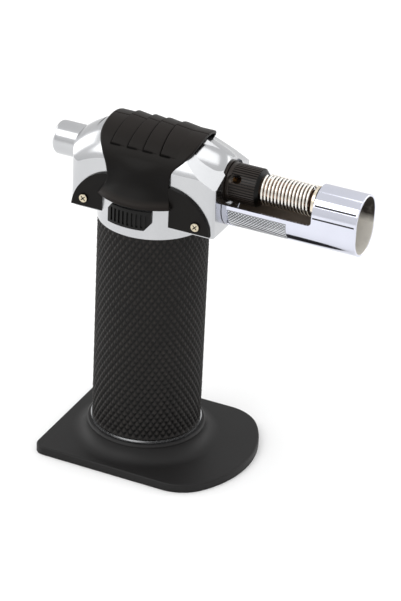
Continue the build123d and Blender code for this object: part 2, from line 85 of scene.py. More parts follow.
def tintAndGrain(name, shader, colours, cloudMm, roughness, grainMm, bumpMm, stretch=(1, 1, 1)):
    # two close colours in soft clouds, a roughness that wanders, and a fine grain as bump
    finish, tree, surface, place = startFinish(name, shader)
    spread = addNode(tree, "Mapping", {"Scale": stretch}, {"Vector": place}).outputs[0]
    clouds = addNode(tree, "TexNoise", {"Scale": 1 / (cloudMm * mm), "Detail": 3.0}, {"Vector": spread})
    mixed = addNode(tree, "Mix",
                    {"data_type": "RGBA", 6: hexToLinear(colours[0]), 7: hexToLinear(colours[1])},
                    {0: clouds.outputs["Fac"]})
    tree.links.new(mixed.outputs[2], surface.inputs["Base Color"])
    grain = addNode(tree, "TexNoise", {"Scale": 1 / (grainMm * mm), "Detail": 2.0}, {"Vector": spread})
    rough = addNode(tree, "MapRange", {"To Min": roughness[0], "To Max": roughness[1]},
                    {"Value": grain.outputs["Fac"]})
    tree.links.new(rough.outputs[0], surface.inputs["Roughness"])
    bump = addNode(tree, "Bump", {"Strength": 1.0, "Distance": bumpMm * mm},
                   {"Height": grain.outputs["Fac"]})
    tree.links.new(bump.outputs[0], surface.inputs["Normal"])
    return finish


# ABS, injection moulded in a spark-eroded mould: fine matte grain, soft wide highlights, a brown-black
mouldedAbs = tintAndGrain("mouldedAbs", {"IOR": 1.53, "Specular IOR Level": 0.12},
                          ("0b0908", "110f0d"), 9, (0.34, 0.46), 0.22, 0.010)
# the same ABS on the saddle, with painted shade in the grooves, which also kills the shine there
saddleAbs = tintAndGrain("saddleAbs", {"IOR": 1.53, "Specular IOR Level": 0.11},
                         ("0e0b09", "16120f"), 9, (0.40, 0.52), 0.22, 0.010)
# the same ABS with a coarser grain for the stand: greyer and a little duller
standAbs = tintAndGrain("standAbs", {"IOR": 1.53, "Specular IOR Level": 0.24},
                        ("121111", "181717"), 14, (0.46, 0.60), 0.30, 0.014)
# ABS from a polished mould, for the small slider: near black, with a tighter highlight
sliderAbs = tintAndGrain("sliderAbs", {"IOR": 1.53, "Specular IOR Level": 0.18},
                         ("060605", "0b0a09"), 5, (0.3, 0.4), 0.2, 0.008)
# phenolic collar, turned: black, the ribs' lighter tone a painted highlight, with a clear glassy shine on
# them
collarPhenolic = tintAndGrain("collarPhenolic", {"IOR": 1.56, "Specular IOR Level": 0.16},
                              ("241f1c", "322c28"), 5, (0.24, 0.34), 0.25, 0.006)
# black, slightly glossy strips in the guard's lines: painted shade and dark reflection along those grooves
guardLineShade = tintAndGrain("guardLineShade", {"IOR": 1.5},
                           ("060606", "0c0b0b"), 3, (0.3, 0.4), 0.3, 0.004)
# zinc die casting, satin chrome plated: soft pale reflections, no sharp image
satinChrome = tintAndGrain("satinChrome", {"Metallic": 1.0},
                           ("b6b7ba", "c3c4c5"), 12, (0.17, 0.25), 0.5, 0.003)
# drawn steel tube, bright chrome plated: a clear image with a cold cast
brightChrome = tintAndGrain("brightChrome", {"Metallic": 1.0},
                            ("d0d2de", "dadce8"), 10, (0.06, 0.11), 0.6, 0.001)
# drawn spring steel wire, straw tinted by tempering: warm ivory highlights
tintedSpring = tintAndGrain("tintedSpring", {"Metallic": 1.0},
                            ("d9cdb8", "f1e8d8"), 3, (0.18, 0.28), 0.3, 0.002)
# the same wire round the burner, pale outside, with brown painted shade in the gaps between the turns: pale
# turns, brown gaps
paleSpringShadedGaps = tintAndGrain("paleSpringShadedGaps", {"Metallic": 1.0},
                            ("e8e3d9", "f7f4ee"), 3, (0.2, 0.3), 0.3, 0.002)
# steel screw heads, nickel plated: yellowish, scuffed by the driver
nickelPlate = tintAndGrain("nickelPlate", {"Metallic": 1.0},
                           ("bdb197", "d8cfba"), 1.5, (0.22, 0.34), 0.2, 0.004)
# the same nickel, clean, on the pin and screw that nobody turns
cleanNickel = tintAndGrain("cleanNickel", {"Metallic": 1.0},
                           ("c4bba6", "d8cfba"), 1.5, (0.2, 0.3), 0.2, 0.003)
# brass, turned, for the valves and the jet: yellow with fine tool rings
turnedBrass = tintAndGrain("turnedBrass", {"Metallic": 1.0},
                           ("b98a3f", "d0a55a"), 2, (0.2, 0.32), 0.15, 0.004, (6, 6, 1))
# aluminium tank, deep drawn: grey with long draw lines
drawnAluminium = tintAndGrain("drawnAluminium", {"Metallic": 1.0},
                              ("a9abad", "babcbe"), 8, (0.28, 0.4), 0.2, 0.004, (1, 1, 0.1))
# nitrile rubber, moulded seals and an extruded hose: dull black with no sharp highlight
nitrileRubber = tintAndGrain("nitrileRubber", {"IOR": 1.52},
                             ("191919", "232323"), 4, (0.6, 0.75), 0.2, 0.01)
# acetal, injection moulded, for the igniter: dark grey with a waxy, blurred shine
acetalGrey = tintAndGrain("acetalGrey", {"IOR": 1.48},
                          ("3a3a3c", "464648"), 6, (0.4, 0.5), 0.25, 0.008)
# alumina, pressed and fired, round the electrode: warm white, faintly speckled
firedAlumina = tintAndGrain("firedAlumina", {"IOR": 1.76},
                            ("d9d3c3", "e9e4d6"), 1, (0.3, 0.45), 0.12, 0.006)


def makeBurnerSteel():
    # stainless tube blued and strawed by heat: the tint runs along the barrel from pink gold to brown
    finish, tree, surface, place = startFinish("heatedStainless", {"Metallic": 1.0})
    along = addNode(tree, "SeparateXYZ", links={0: place}).outputs["X"]
    share = addNode(tree, "MapRange", {"From Min": 30 * mm, "From Max": 66 * mm}, {"Value": along})
    blotch = addNode(tree, "TexNoise", {"Scale": 1 / (4 * mm), "Detail": 3.0}, {"Vector": place})
    moved = addNode(tree, "Math", {"operation": "MULTIPLY_ADD", 1: 0.35, 2: -0.17},
                    {0: blotch.outputs["Fac"]})
    summed = addNode(tree, "Math", {"operation": "ADD"}, {0: share.outputs[0], 1: moved.outputs[0]})
    ramp = addNode(tree, "ValToRGB", links={0: summed.outputs[0]})
    stops = [(0.0, "cfc8c0"), (0.35, "d9b8a2"), (0.6, "c39a80"), (0.82, "9a7a62"), (1.0, "6d5a52")]
    first, last = ramp.color_ramp.elements[0], ramp.color_ramp.elements[1]
    first.position, first.color = stops[0][0], hexToLinear(stops[0][1])
    last.position, last.color = stops[-1][0], hexToLinear(stops[-1][1])
    for position, colour in stops[1:-1]:
        ramp.color_ramp.elements.new(position).color = hexToLinear(colour)
    tree.links.new(ramp.outputs[0], surface.inputs["Base Color"])
    rough = addNode(tree, "MapRange", {"To Min": 0.16, "To Max": 0.3}, {"Value": blotch.outputs["Fac"]})
    tree.links.new(rough.outputs[0], surface.inputs["Roughness"])
    return finish


heatedStainless = makeBurnerSteel()


def reopenFinish(finish):
    # a made finish again: its tree, its shader, the colour that feeds it and the place in metres
    tree = finish.node_tree
    surface = next(n for n in tree.nodes if n.type == "BSDF_PRINCIPLED")
    feed = surface.inputs["Base Color"].links[0].from_socket
    place = next(n for n in tree.nodes if n.type == "TEX_COORD").outputs["Object"]
    return tree, surface, feed, place


def paintShadeByDepth(finish, axis, near, far, colour):
    # painted shade that sits low: the colour turns darker between two distances from the part's middle
    # plane
    tree, surface, feed, place = reopenFinish(finish)
    value = addNode(tree, "SeparateXYZ", links={0: place}).outputs[axis]
    size = addNode(tree, "Math", {"operation": "ABSOLUTE"}, {0: value})
    share = addNode(tree, "MapRange", {"From Min": near * mm, "From Max": far * mm},
                    {"Value": size.outputs[0]})
    mixed = addNode(tree, "Mix", {"data_type": "RGBA", 6: hexToLinear(colour)},
                    {0: share.outputs[0], 7: feed})
    tree.links.new(mixed.outputs[2], surface.inputs["Base Color"])


def paintShadeInGrooves(finish):
    # painted shade in the grooves between the thumb scales: darker, and without shine
    tree, surface, feed = reopenFinish(finish)[:3]
    rough = surface.inputs["Roughness"].links[0].from_socket
    grooveShade = addNode(tree, "Attribute", {"attribute_name": "grooveShade"}).outputs["Fac"]
    mixed = addNode(tree, "Mix", {"data_type": "RGBA", 7: hexToLinear("030303")}, {0: grooveShade, 6: feed})
    tree.links.new(mixed.outputs[2], surface.inputs["Base Color"])
    dull = addNode(tree, "Math", {"operation": "ADD", "use_clamp": True}, {0: rough, 1: grooveShade})
    tree.links.new(dull.outputs[0], surface.inputs["Roughness"])


def paintShadeByReach(finish, near, far, colour):
    # round the barrel the low places get a darker colour as painted shade, the outermost ones show the full
    # finish
    tree, surface, feed, place = reopenFinish(finish)
    parts = addNode(tree, "SeparateXYZ", links={0: place})
    rise = addNode(tree, "Math", {"operation": "SUBTRACT", 1: barrelHeight * mm}, {0: parts.outputs["Z"]})
    flat = addNode(tree, "CombineXYZ", links={"X": parts.outputs["Y"], "Y": rise.outputs[0]})
    reach = addNode(tree, "VectorMath", {"operation": "LENGTH"}, {0: flat.outputs[0]})
    share = addNode(tree, "MapRange", {"From Min": near * mm, "From Max": far * mm},
                    {"Value": reach.outputs["Value"]})
    mixed = addNode(tree, "Mix", {"data_type": "RGBA", 6: hexToLinear(colour)},
                    {0: share.outputs[0], 7: feed})
    tree.links.new(mixed.outputs[2], surface.inputs["Base Color"])


def paintLightByHeight(finish, stops):
    # painted highlight: the crown and the lip of the cover are coloured a little lighter by height, the
    # waist keeps its mould black
    tree, surface, feed, place = reopenFinish(finish)
    height = addNode(tree, "SeparateXYZ", links={0: place}).outputs["Z"]
    low, high = stops[0][0], stops[-1][0]
    share = addNode(tree, "MapRange", {"From Min": low * mm, "From Max": high * mm}, {"Value": height})
    ramp = addNode(tree, "ValToRGB", links={0: share.outputs[0]})
    ramp.color_ramp.elements[0].color = hexToLinear(stops[0][1])
    ramp.color_ramp.elements[1].color = hexToLinear(stops[-1][1])
    for level, colour in stops[1:-1]:
        ramp.color_ramp.elements.new((level - low) / (high - low)).color = hexToLinear(colour)
    mixed = addNode(tree, "Mix", {"data_type": "RGBA", 0: 0.75}, {6: feed, 7: ramp.outputs[0]})
    tree.links.new(mixed.outputs[2], surface.inputs["Base Color"])


# height in mm and colour, from the lip up to the crown: painted highlight bands on the lip and the crown, a
# darker waist
saddleLightBands = [
    (108.4, "0d0b0a"), (109.3, "1c1816"), (110.6, "211d1a"), (112.0, "090807"),
    (119.0, "060505"), (125.0, "0f0d0b"), (130.0, "1a1715"), (134.4, "25211f"),
]
paintLightByHeight(saddleAbs, saddleLightBands)
# the distances are mm from the burner's axis
paintShadeByReach(collarPhenolic, 7.02, 7.18, "030302")  # painted highlight on the ribs, painted shade in the grooves
paintShadeByReach(paleSpringShadedGaps, 5.35, 5.62, "2b211a")  # pale crowns of the wire, brown gaps as painted shade
# painted shade in the saddle's grooves
paintShadeInGrooves(saddleAbs)
paintShadeByDepth(nickelPlate, "Y", 16.75, 16.95, "1d1813")  # painted shade in the cross recess and round the rim of each plate screw


# painted reflection and shade inside the flame guard, placed by these numbers
insidePaint = {
    "lowAxis": 110.3, "highAxis": 115.0,  # mm, axes of the guard's round floor and roof
    "skin": (8.62, 8.56),  # mm from those axes, clean metal and the full painted tint
    "shadeLow": 110, "shadeHigh": 113.5,  # mm, the painted shade thickens upward between these
    "tipStart": 64, "tipFull": 67,  # mm, the open trough ends and the closed tip begins
    "streak": 3,  # mm, size of the uneven patches
}


def paintLightInsideGuard(finish):
    # painted light inside the guard: brown in the trough as painted reflection and shade, pale low in the
    # mouth as painted reflection of the floor, and black at its roof as painted shade
    tree, surface, feed, place = reopenFinish(finish)
    parts = addNode(tree, "SeparateXYZ", links={0: place})
    across = addNode(tree, "Math", {"operation": "ABSOLUTE"}, {0: parts.outputs["Y"]})
    low = addNode(tree, "Clamp", {"Min": insidePaint["lowAxis"] * mm, "Max": insidePaint["highAxis"] * mm},
                  {"Value": parts.outputs["Z"]})
    rise = addNode(tree, "Math", {"operation": "SUBTRACT"}, {0: parts.outputs["Z"], 1: low.outputs[0]})
    flat = addNode(tree, "CombineXYZ", links={"X": across.outputs[0], "Y": rise.outputs[0]})
    reach = addNode(tree, "VectorMath", {"operation": "LENGTH"}, {0: flat.outputs[0]})
    inside = addNode(tree, "MapRange",
                     {"From Min": insidePaint["skin"][0] * mm, "From Max": insidePaint["skin"][1] * mm},
                     {"Value": reach.outputs["Value"]})
    streak = addNode(tree, "TexNoise", {"Scale": 1 / (insidePaint["streak"] * mm), "Detail": 3.0},
                     {"Vector": place})
    height = addNode(tree, "MapRange",
                     {"From Min": insidePaint["shadeLow"] * mm, "From Max": insidePaint["shadeHigh"] * mm},
                     {"Value": parts.outputs["Z"]})
    wander = addNode(tree, "Math", {"operation": "MULTIPLY_ADD", 1: 0.5, 2: -0.25},
                     {0: streak.outputs["Fac"]})
    roofShade = addNode(tree, "Math", {"operation": "ADD", "use_clamp": True},
                   {0: height.outputs[0], 1: wander.outputs[0]})
    mouth = addNode(tree, "Mix", {"data_type": "RGBA", 6: hexToLinear("e6e2da"), 7: hexToLinear("2a2420")},
                    {0: roofShade.outputs[0]})
    tip = addNode(tree, "MapRange", {"From Min": insidePaint["tipStart"] * mm, "From Max": insidePaint["tipFull"] * mm},
                  {"Value": parts.outputs["X"]})
    trough = addNode(tree, "Mix", {"data_type": "RGBA", 6: hexToLinear("6d6052"), 7: hexToLinear("4a3f35")},
                     {0: streak.outputs["Fac"]})
    tint = addNode(tree, "Mix", {"data_type": "RGBA"},
                   {0: tip.outputs[0], 6: trough.outputs[2], 7: mouth.outputs[2]})
    mixed = addNode(tree, "Mix", {"data_type": "RGBA"}, {0: inside.outputs[0], 6: feed, 7: tint.outputs[2]})
    tree.links.new(mixed.outputs[2], surface.inputs["Base Color"])
    # inside, the metal turns mostly non-metallic and rougher, so the painted tint scatters light where the
    # clean chrome mirrors it
    clean = addNode(tree, "MapRange", {"To Min": 1.0, "To Max": 0.1}, {"Value": inside.outputs[0]})
    tree.links.new(clean.outputs[0], surface.inputs["Metallic"])
    rough = surface.inputs["Roughness"].links[0].from_socket
    skin = addNode(tree, "Math", {"operation": "MULTIPLY_ADD", 1: 0.35}, {0: inside.outputs[0], 2: rough})
    tree.links.new(skin.outputs[0], surface.inputs["Roughness"])


# painted reflection and shade inside the guard's chrome
paintLightInsideGuard(brightChrome)
# the same chrome on the guard's knurl, with grey painted shade in the valleys so each small pyramid reads
knurledChrome = tintAndGrain("knurledChrome", {"Metallic": 1.0},
                             ("d6d8dc", "e4e6e8"), 10, (0.12, 0.2), 0.6, 0.001)


def makeAnodisedKnurl():
    # knurled aluminium sleeve, black anodised: the crests and upper faces coloured a warm grey as painted
    # highlight, the pits black as painted shade
    finish, tree, surface, place = startFinish("knurledAnodised", {"IOR": 1.5, "Specular IOR Level": 0.22})
    crest = addNode(tree, "Attribute", {"attribute_name": "crest"}).outputs["Fac"]
    patchNoise = addNode(tree, "TexNoise", {"Scale": 1 / (6 * mm), "Detail": 4.0}, {"Vector": place})
    patchy = addNode(tree, "MapRange", {"From Min": 0.3, "From Max": 0.75, "To Min": 0.55, "To Max": 1.0},
                   {"Value": patchNoise.outputs["Fac"]})
    share = addNode(tree, "Math", {"operation": "MULTIPLY"}, {0: crest, 1: patchy.outputs[0]})
    mixed = addNode(tree, "Mix", {"data_type": "RGBA", 6: hexToLinear("010101"), 7: hexToLinear("2e2a27")},
                    {0: share.outputs[0]})
    tree.links.new(mixed.outputs[2], surface.inputs["Base Color"])
    rough = addNode(tree, "MapRange", {"To Min": 0.62, "To Max": 0.36}, {"Value": crest})
    tree.links.new(rough.outputs[0], surface.inputs["Roughness"])
    grain = addNode(tree, "TexNoise", {"Scale": 1 / (0.3 * mm), "Detail": 2.0}, {"Vector": place})
    bump = addNode(tree, "Bump", {"Strength": 0.8, "Distance": 0.02 * mm}, {"Height": grain.outputs["Fac"]})
    tree.links.new(bump.outputs[0], surface.inputs["Normal"])
    return finish


knurledAnodised = makeAnodisedKnurl()


def paintShadeInValleys(finish, colour):
    # painted shade between the small pyramids of a knurl
    tree, surface, feed = reopenFinish(finish)[:3]
    valley = addNode(tree, "Attribute", {"attribute_name": "valley"}).outputs["Fac"]
    mixed = addNode(tree, "Mix", {"data_type": "RGBA", 7: hexToLinear(colour)}, {0: valley, 6: feed})
    tree.links.new(mixed.outputs[2], surface.inputs["Base Color"])


# painted shade in the guard knurl's valleys
paintShadeInValleys(knurledChrome, "3a3a3c")

slotFinish = {
    "black_plastic_base": standAbs,
    "seal_rubber": nitrileRubber,
    "tank_shell": drawnAluminium,
    "knurled_black_grip": knurledAnodised,
    "bright_trim": satinChrome,
    "chrome_casing": satinChrome,
    "black_cover": mouldedAbs,
    "screw_steel": nickelPlate,
    "black_slider": sliderAbs,
    "spring_steel": tintedSpring,
    "brass": turnedBrass,
    "burner_steel": heatedStainless,
    "guard_chrome": brightChrome,
    "black_air_collar": collarPhenolic,
    "igniter_plastic": acetalGrey,
    "hose_rubber": nitrileRubber,
    "ceramic": firedAlumina,
}
# the burner spring takes the pale wire with painted shade in its gaps
ownFinish = {"burner_spring": paleSpringShadedGaps, "guard_screw": cleanNickel, "lever_pin": cleanNickel}
for row in frame["record"]["subparts"]:
    part = nodes[row["node"]]
    finish = ownFinish.get(row["node"], slotFinish[row["material_slot"]])
    if not part.material_slots:
        part.data.materials.append(finish)
    for materialSlot in part.material_slots:
        materialSlot.material = finish
print("finishes on the frame")


def makePiece(name, points, faces, finish, body, smooth=True):
    mesh = bpy.data.meshes.new(name)
    mesh.from_pydata([tuple(p) for p in points], [], [tuple(f) for f in faces])
    mesh.polygons.foreach_set("use_smooth", [smooth] * len(mesh.polygons))
    mesh.materials.append(finish)
    mesh.update()
    piece = bpy.data.objects.new(name, mesh)
    bpy.context.scene.collection.objects.link(piece)
    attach(piece, body)
    return piece


def ringFaces(rows, columns, closedAcross=True):
    # quads of a grid, rows x columns, the columns closed into a ring if asked
    faces = []
    for r in range(rows - 1):
        for c in range(columns if closedAcross else columns - 1):
            d = (c + 1) % columns
            faces.append((r * columns + c, r * columns + d, (r + 1) * columns + d, (r + 1) * columns + c))
    return faces


def borderPairs(rows, columns):
    # neighbours along the outline of such a grid, once round
    border = list(range(columns)) + [r * columns + columns - 1 for r in range(1, rows)]
    border += [(rows - 1) * columns + c for c in range(columns - 2, -1, -1)]
    border += [r * columns for r in range(rows - 2, 0, -1)]
    return zip(border, border[1:] + border[:1])


def setPointValues(piece, name, values):
    # one number for each mesh point, which the finish of the piece reads
    piece.data.attributes.new(name, "FLOAT", "POINT").data.foreach_set("value", values.astype(np.float32))


def smoothStep(low, high, x):
    t = np.clip((x - low) / (high - low), 0, 1)
    return t * t * (3 - 2 * t)


# the knurled grip
grip = {
    "radius": 21.0, "inner": 19.5, "bottom": 10.6, "top": 96.0,  # mm
    "diamondWide": 2.6, "diamondHigh": 3.7, "depth": 0.75,  # mm, one diamond of the knurl
    "steps": 9,  # mesh steps across one diamond
    "edge": 0.5, "edgeIn": 0.12, "bevelIn": 0.25, "bevelTall": 0.22,  # mm, plain turned edge at each end
    "edgeCrest": 0.8,  # how much of the crests' lighter tone that edge takes, 0 to 1
}


def makeGrip():
    around = round(2 * math.pi * grip["radius"] / grip["diamondWide"])
    columns = around * grip["steps"]
    tall = (grip["top"] - grip["bottom"] - 2 * grip["edge"]) / grip["diamondHigh"]
    rows = int(tall * grip["steps"]) + 1
    u, v = np.meshgrid(np.arange(columns) / columns * around, np.linspace(0, tall, rows))
    a, b = np.abs((u + 0.5) % 1 - 0.5) * 2, np.abs((v + 0.5) % 1 - 0.5) * 2
    toPit = np.minimum(a + b, 2 - a - b)  # 0 at the tip of a diamond, 1 in the groove round it
    crest = np.clip((1 - toPit) / 0.9, 0, 1) ** 0.9
    signed = ((v + 0.5) % 1 - 0.5) * 2
    aboveTip = np.where(a + b < 1, signed, signed - np.sign(signed))
    # painted light: the upper faces of each diamond are coloured lighter, as if lit from above
    paintedLight = 0.2 * crest + 0.8 * smoothStep(-0.1, 0.3, aboveTip) * (0.35 + 0.65 * crest)
    radius = grip["radius"] - grip["depth"] * (1 - crest)
    angle = u / around * 2 * math.pi
    height = grip["bottom"] + grip["edge"] + v * grip["diamondHigh"]
    knurl = np.stack([radius * np.cos(angle), radius * np.sin(angle), height], axis=-1)
    circle = np.arange(columns) / columns * 2 * math.pi

    def plainRing(r, z):
        return np.stack([r * np.cos(circle), r * np.sin(circle), np.full(columns, z)], axis=-1)

    outer = grip["radius"] - grip["edgeIn"]
    bevel = outer - grip["bevelIn"]
    low, high = grip["bottom"], grip["top"]
    rings = [plainRing(grip["inner"], low), plainRing(bevel, low)]
    rings += [plainRing(outer, low + grip["bevelTall"]), *knurl, plainRing(outer, high - grip["bevelTall"])]
    rings += [plainRing(bevel, high), plainRing(grip["inner"], high)]
    points = np.concatenate(rings) * mm
    faces = ringFaces(len(rings), columns)
    last = (len(rings) - 1) * columns
    # the bore closes the sleeve
    faces += [(last + c, last + (c + 1) % columns, (c + 1) % columns, c) for c in range(columns)]
    piece = makePiece("grip_knurl", points, faces, knurledAnodised, "torch")
    edgeCrest = np.full(3 * columns, grip["edgeCrest"])
    setPointValues(piece, "crest", np.concatenate([edgeCrest, paintedLight.ravel(), edgeCrest]))
    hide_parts("grip_sleeve")


makeGrip()
print("grip knurled")


# the saddle cover, two halves with four thumb scales each
saddle = {
    "radius": 16.35, "centreHeight": 117.36, "lipHeight": 108.4,  # mm, round top over straight sides
    "middleHeight": 110, "wall": 1.12, "seam": 0.07,
    # outline from the side, (x, z): rear edge and front edge
    "rear": [(-15.6, 108.4), (-13.7, 111.5), (-12.4, 115.0), (-12.9, 120.0), (-15.4, 125.0), (-18.0, 130.0),
             (-18.4, 135.0)],
    "front": [(14.9, 108.4), (13.4, 113.0), (13.0, 118.0), (14.0, 123.5), (17.0, 127.0), (19.2, 130.2),
              (21.0, 135.0)],
    # the skirt's radius round the tank's axis, (z, radius)
    "skirt": [(108.4, 22.75), (109.0, 22.98), (110.0, 22.75), (111.6, 21.1), (113.8, 19.5), (117.0, 18.0),
              (120.4, 17.2), (124.0, 16.9)],
    "skirtTop": 124.0, "skirtBlend": (125.0, 119.5), "skirtSoft": 1.8,
    "scaleTop": [-10.6, -3.8, 1.4, 7.5],  # x where each scale's groove meets the seam
    "scaleFoot": [-12.3, -5.6, 0.7, 7.7],  # x where it ends at the foot
    "footAngle": 52, "footLength": 4.6, "scaleRise": 0.8, "scaleWidth": 6.5,
    "grooveWidth": 0.55, "grooveDepth": 0.55,
    "rearRound": 1.1, "frontRound": 0.45, "seamRound": 0.55, "lipRound": 0.75,
    "columns": 230, "rows": 210,
}
degreesPerRadian = 57.3


def curveThrough(pairs, x):
    # smooth curve through the pairs, first number in, second out
    xs, ys = np.array(pairs, float).T
    slope = np.gradient(ys, xs)
    i = np.clip(np.searchsorted(xs, x) - 1, 0, len(xs) - 2)
    step = xs[i + 1] - xs[i]
    t = np.clip((x - xs[i]) / step, 0, 1)
    return ((1 + 2 * t) * (1 - t) ** 2 * ys[i] + t * (1 - t) ** 2 * step * slope[i]
            + t * t * (3 - 2 * t) * ys[i + 1] + t * t * (t - 1) * step * slope[i + 1])


def softMax(a, b, k):
    # the larger of two, with the corner between them rounded over k
    h = np.maximum(k - np.abs(a - b), 0) / k
    return np.maximum(a, b) + h * h * k / 4


def saddleSkin(share, along):
    # share 0..1 from the seam down to the lip, along 0..1 from rear to front
    arc = saddle["radius"] * math.pi / 2
    straight = saddle["centreHeight"] - saddle["lipHeight"]
    s = share * (arc + straight)
    angle = np.minimum(s / saddle["radius"], math.pi / 2)
    down = np.maximum(s - arc, 0)
    y = saddle["radius"] * np.sin(angle)
    z = saddle["centreHeight"] + saddle["radius"] * np.cos(angle) - down
    rear = curveThrough([(q, p) for p, q in saddle["rear"]], z)
    front = curveThrough([(q, p) for p, q in saddle["front"]], z)
    x = rear + (front - rear) * along
    skirt = curveThrough(saddle["skirt"], np.clip(z, saddle["lipHeight"], saddle["skirtTop"]))
    reach = np.sqrt(np.maximum(skirt ** 2 - x ** 2, 0))
    low = smoothStep(*saddle["skirtBlend"], z)
    y = y + (softMax(y, reach, saddle["skirtSoft"]) - y) * low
    return np.stack([x, y, z], axis=-1), angle, rear, front


def makeSaddleHalf(name, side):
    rows, columns = saddle["rows"], saddle["columns"]
    along, share = np.meshgrid(np.linspace(0, 1, columns), np.linspace(0, 1, rows))
    skin, angle, rear, front = saddleSkin(share, along)
    nudge = 1e-3
    lower, upper = np.clip(share + nudge, 0, 1), np.clip(share - nudge, 0, 1)
    ahead, behind = np.clip(along + nudge, 0, 1), np.clip(along - nudge, 0, 1)
    stepDown = saddleSkin(lower, along)[0] - saddleSkin(upper, along)[0]
    stepAlong = saddleSkin(share, ahead)[0] - saddleSkin(share, behind)[0]
    normal = np.cross(stepDown, stepAlong)
    normal /= np.linalg.norm(normal, axis=-1, keepdims=True)
    rise = skin[..., 2:3] - saddle["middleHeight"]
    outward = normal[..., 1:2] * skin[..., 1:2] + normal[..., 2:3] * rise
    normal *= np.sign(outward + 1e-9)
    x = skin[..., 0]
    degrees = np.degrees(angle)
    lift = np.zeros_like(x)
    grooveShade = np.zeros_like(x)
    foot = saddle["footAngle"]
    reachDown = np.clip(degrees / foot, 0, 1)
    aboveFoot = smoothStep(foot + 0.3, foot - 0.9, degrees)
    half = saddle["grooveWidth"] / 2
    for top, bottom in zip(saddle["scaleTop"], saddle["scaleFoot"]):
        start = top + (bottom - top) * reachDown
        t = (x - start) / saddle["scaleWidth"]
        ramp = np.clip(1 - t, 0, 1) * smoothStep(-0.02, 0.05, t)
        lift = np.maximum(lift, saddle["scaleRise"] * ramp * aboveFoot)
        upright = np.exp(-((x - start) / half) ** 2) * smoothStep(foot + 1.2, foot, degrees)
        footGap = (degrees - foot) / degreesPerRadian * saddle["radius"] / half
        end = bottom + saddle["footLength"]
        sole = np.exp(-footGap ** 2) * smoothStep(bottom - 0.3, bottom, x) * smoothStep(end, end - 1.5, x)
        lift = lift - saddle["grooveDepth"] * np.maximum(upright, sole)
        grooveShade = np.maximum(grooveShade, np.maximum(upright, sole))
    edgeFade = smoothStep(0, 1.2, x - rear) * smoothStep(0, 1.5, front - x)
    lift = lift * edgeFade
    # rounded edges all round, tighter along the seam
    total = math.pi / 2 * saddle["radius"] + saddle["centreHeight"] - saddle["lipHeight"]
    fall = np.zeros_like(x)
    for distance, radius in (
        (x - rear, saddle["rearRound"]), (front - x, saddle["frontRound"]),
        (share * total, saddle["seamRound"]), ((1 - share) * total, saddle["lipRound"]),
    ):
        inner = np.clip(radius - distance, 0, radius)
        fall = np.maximum(fall, radius - np.sqrt(radius ** 2 - inner ** 2))
    outside = skin + normal * (lift - fall)[..., None]
    inside = skin - normal * saddle["wall"]
    inside[..., 1] = np.maximum(inside[..., 1], 0.0)
    outside[..., 1] = np.maximum(outside[..., 1], 0.0)
    outside[..., 1] += saddle["seam"]
    inside[..., 1] += saddle["seam"]
    points = np.concatenate([outside.reshape(-1, 3), inside.reshape(-1, 3)])
    points[:, 1] *= side
    faces = []
    offset = rows * columns
    for r in range(rows - 1):
        for c in range(columns - 1):
            i = r * columns + c
            faces.append((i, i + 1, i + columns + 1, i + columns))
            faces.append((offset + i, offset + i + columns, offset + i + columns + 1, offset + i + 1))
    for a, b in borderPairs(rows, columns):
        faces.append((a, offset + a, offset + b, b))
    if side > 0:
        faces = [f[::-1] for f in faces]
    piece = makePiece(name, points * mm, faces, saddleAbs, "torch")
    # the groove mask, which the finish paints as shade in the grooves
    shade = np.concatenate([(grooveShade * edgeFade).ravel(), np.zeros(offset)])
    setPointValues(piece, "grooveShade", shade)
    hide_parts(name.replace("saddle_half", "saddle_cover"))


makeSaddleHalf("saddle_half_near", -1)
makeSaddleHalf("saddle_half_far", 1)
print("saddle cover made")


# the knurled zone and the painted dark lines of the flame guard
guard = {
    "radius": 9.4, "highAxis": 115.0, "lowAxis": 110.3, "x0": 33.25, "x1": 56.45, "top": 110.55,  # mm
    "floor": 9.07, "seat": 0.05, "pyramid": 1.3, "rise": 0.33, "steps": 8,
    "lineHeights": (119.9, 115.4), "lineX": (66.5, 82.3), "lineWide": 0.54,
    "lineSunk": 0.28, "lineDeep": 0.22, "lineStations": 24,
}


def makeGuardKnurl():
    edge = math.asin((guard["lowAxis"] - guard["top"]) / guard["radius"])
    arc = (math.pi - 2 * edge) * guard["radius"]
    across = round(arc / guard["pyramid"])
    along = round((guard["x1"] - guard["x0"]) / guard["pyramid"])
    u, v = np.meshgrid(np.linspace(0, along, along * guard["steps"] + 1),
                       np.linspace(0, across, across * guard["steps"] + 1))
    a, b = np.abs((u + 0.5) % 1 - 0.5) * 2, np.abs((v + 0.5) % 1 - 0.5) * 2
    valley = np.minimum(a + b, 2 - a - b)
    rim = np.minimum(np.minimum(u, along - u), np.minimum(v, across - v))
    rise = guard["rise"] * np.clip(1.15 * (1 - valley), 0, 1) * np.clip(rim * 4, 0, 1)
    angle = math.pi + edge + v / across * (math.pi - 2 * edge)
    x = guard["x0"] + u / along * (guard["x1"] - guard["x0"])

    def shell(radius):
        y, z = radius * np.cos(angle), guard["lowAxis"] + radius * np.sin(angle)
        return np.stack([x, y, z], axis=-1).reshape(-1, 3)

    rows, columns = u.shape
    points = np.concatenate([shell(guard["floor"] + rise), shell(guard["floor"] - guard["seat"])])
    offset = rows * columns
    skin = ringFaces(rows, columns, closedAcross=False)
    faces = [f[::-1] for f in skin] + [tuple(offset + i for i in f) for f in skin]
    faces += [(a, b, offset + b, offset + a) for a, b in borderPairs(rows, columns)]
    piece = makePiece("guard_knurl", points * mm, faces, knurledChrome, "torch",
                      smooth=False)
    # the valley mask, which the finish paints darker as shade
    valleyShade = np.concatenate([np.clip(valley * 1.6 - 0.75, 0, 1).ravel(), np.zeros(offset)])
    setPointValues(piece, "valley", valleyShade)


